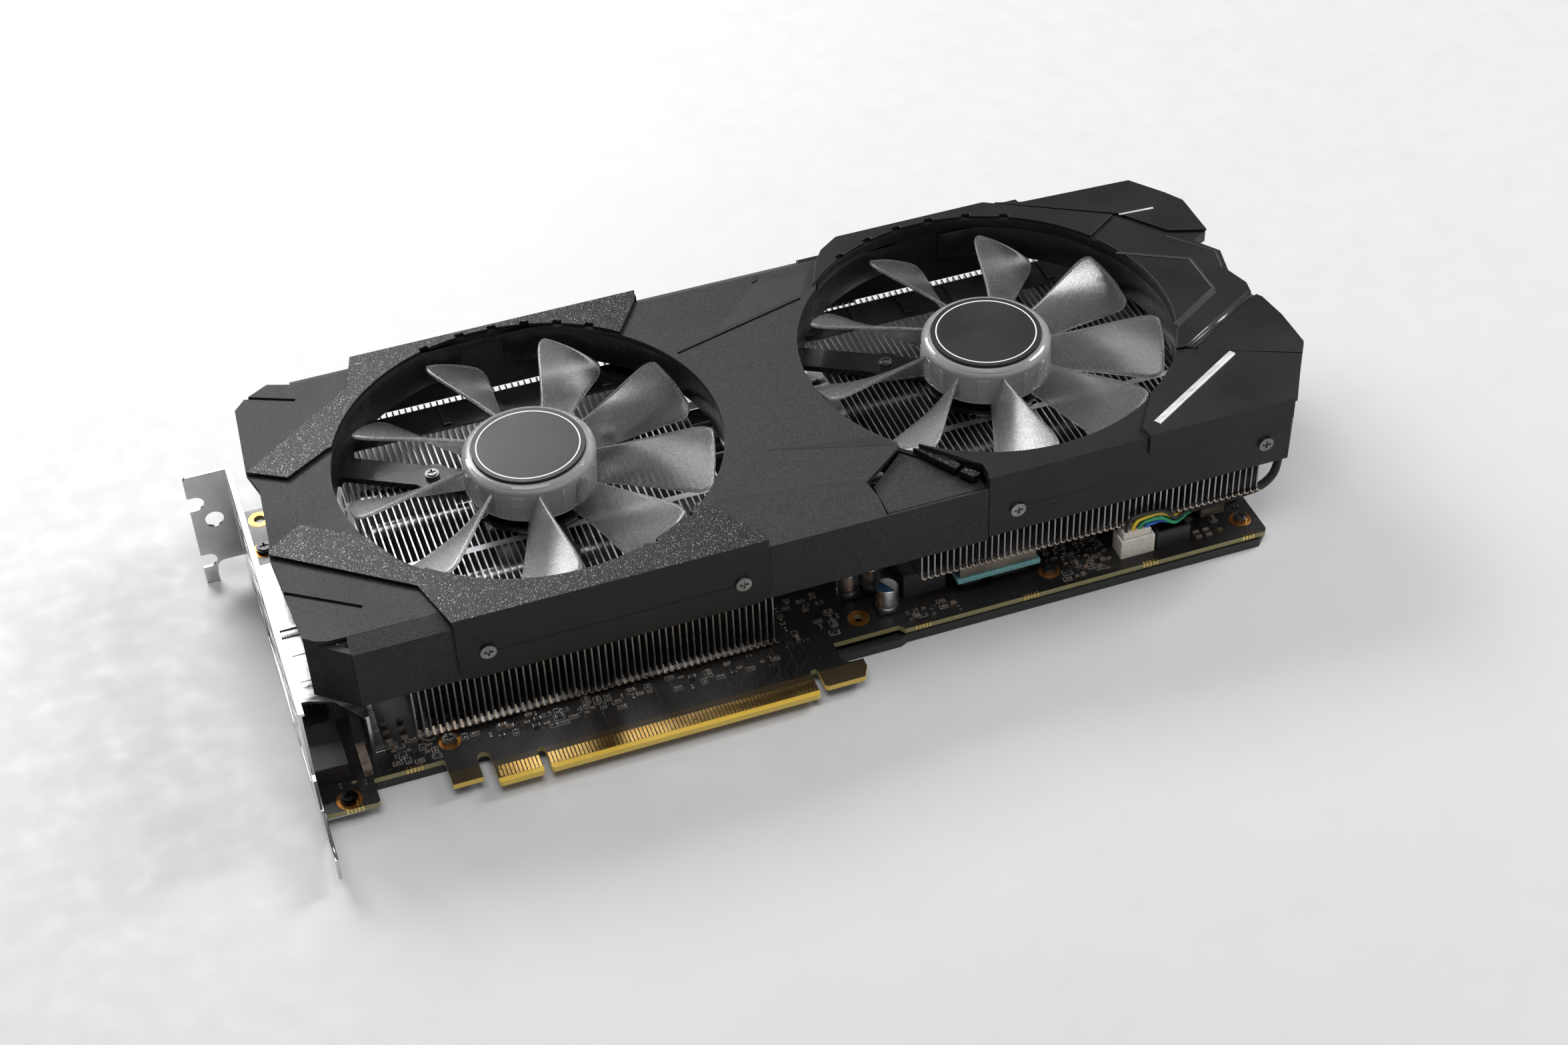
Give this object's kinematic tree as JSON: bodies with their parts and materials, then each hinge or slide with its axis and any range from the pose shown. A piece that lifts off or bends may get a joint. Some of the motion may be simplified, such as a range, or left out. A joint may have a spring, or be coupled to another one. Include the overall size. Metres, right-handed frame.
{
  "type": "graphics card",
  "caption": "Two-slot computer graphics card with an open two-fan cooler, finned heat sink, faceted dark cover, metal bracket and gold edge connector.",
  "frame": {"origin": "bottom centre of the bounding box, on the plane the backplate rests on", "axes": "+X along the card from the bracket to the far end, +Y from the edge connector to the opposite long edge, +Z out of the cover, along the fan axes"},
  "size_m": [0.2952, 0.1474, 0.0462],
  "materials": {
    "board": "black solder mask over copper tracks, bare yellow laminate along the connector edge",
    "gold": "polished gold plating",
    "backplate_paint": "satin black",
    "bracket_chrome": "bright nickel with fine scratches",
    "shield_steel": "plain stamped sheet",
    "socket_metal": "bright plated sheet",
    "socket_black": "black moulding",
    "shroud_grey": "fine grained dark grey moulding",
    "shroud_black": "semi-gloss black moulding",
    "trim_sparkle": "black moulding with a fine sparkling grain",
    "duct_black": "smooth black moulding",
    "fan_clear": "frosted clear moulding",
    "cap_black": "satin black disc with a plain white ring",
    "cup_steel": "turned steel",
    "shaft_steel": "ground steel",
    "bearing_brass": "sintered bronze",
    "winding_copper": "enamelled copper windings",
    "fin_aluminium": "thin rolled sheet",
    "pipe_nickel": "nickel plate",
    "package_green": "green laminate",
    "die_grey": "polished silicon",
    "chip_black": "moulded chip body",
    "plate_alloy": "milled plate",
    "pad_teal": "soft thermal pad",
    "can_silver": "drawn can with a blue half mark",
    "header_cream": "cream moulding",
    "header_black": "black moulding",
    "wire_colour": "coloured wire insulation",
    "sleeve_black": "braided sleeve",
    "surface_parts": "small ceramic and moulded parts",
    "screw_steel": "plated steel",
    "screw_black": "black oxide"
  },
  "bodies": {
    "card": {"circuit_board": "board", "edge_contacts": "gold", "backplate": "backplate_paint", "io_bracket": "bracket_chrome", "socket_shield": "shield_steel", "near_display_socket": "socket_black", "wide_video_socket": "socket_metal", "far_display_socket": "socket_metal", "power_socket_8pin": "socket_black", "power_socket_6pin": "socket_black", "shroud_body": "shroud_grey", "right_shell": "shroud_black", "trim_upper_left": "trim_sparkle", "trim_lower_left": "trim_sparkle", "trim_ring_right": "shroud_black", "trim_end_far": "shroud_black", "trim_end_middle": "shroud_black", "trim_end_near": "shroud_black", "trim_end_bar": "shroud_black", "lower_facet_panel": "shroud_grey", "left_fan_duct": "duct_black", "right_fan_duct": "duct_black", "left_motor_mount": "duct_black", "right_motor_mount": "duct_black", "left_bearing": "bearing_brass", "right_bearing": "bearing_brass", "left_stator": "winding_copper", "right_stator": "winding_copper", "left_fin_stack": "fin_aluminium", "right_fin_stack": "fin_aluminium", "heat_pipes": "pipe_nickel", "cold_plate": "pipe_nickel", "gpu_package": "package_green", "gpu_die": "die_grey", "memory_chips": "chip_black", "vrm_plate": "plate_alloy", "thermal_pad": "pad_teal", "chokes": "chip_black", "mosfets": "chip_black", "polymer_capacitors": "can_silver", "fan_header": "header_cream", "spare_fan_header": "header_black", "fan_plug": "header_cream", "fan_lead_wires": "wire_colour", "fan_lead_sleeve": "sleeve_black", "fan_link_lead": "sleeve_black", "small_parts": "surface_parts", "board_screws": "screw_steel", "shroud_screws": "screw_steel", "motor_screws": "screw_steel", "bracket_screws": "screw_black"},
    "left_fan": {"left_fan_rotor": "fan_clear", "left_hub_cap": "cap_black", "left_magnet_cup": "cup_steel", "left_fan_shaft": "shaft_steel"},
    "right_fan": {"right_fan_rotor": "fan_clear", "right_hub_cap": "cap_black", "right_magnet_cup": "cup_steel", "right_fan_shaft": "shaft_steel"}
  },
  "joints": [
    {"name": "left_fan_spin", "type": "hinge", "parent": "card", "child": "left_fan", "pos_m": [-0.05955, 0.01915, 0.04], "axis": [0, 0, 1], "continuous": true},
    {"name": "right_fan_spin", "type": "hinge", "parent": "card", "child": "right_fan", "pos_m": [0.07045, 0.01915, 0.04], "axis": [0, 0, 1], "continuous": true}
  ]
}
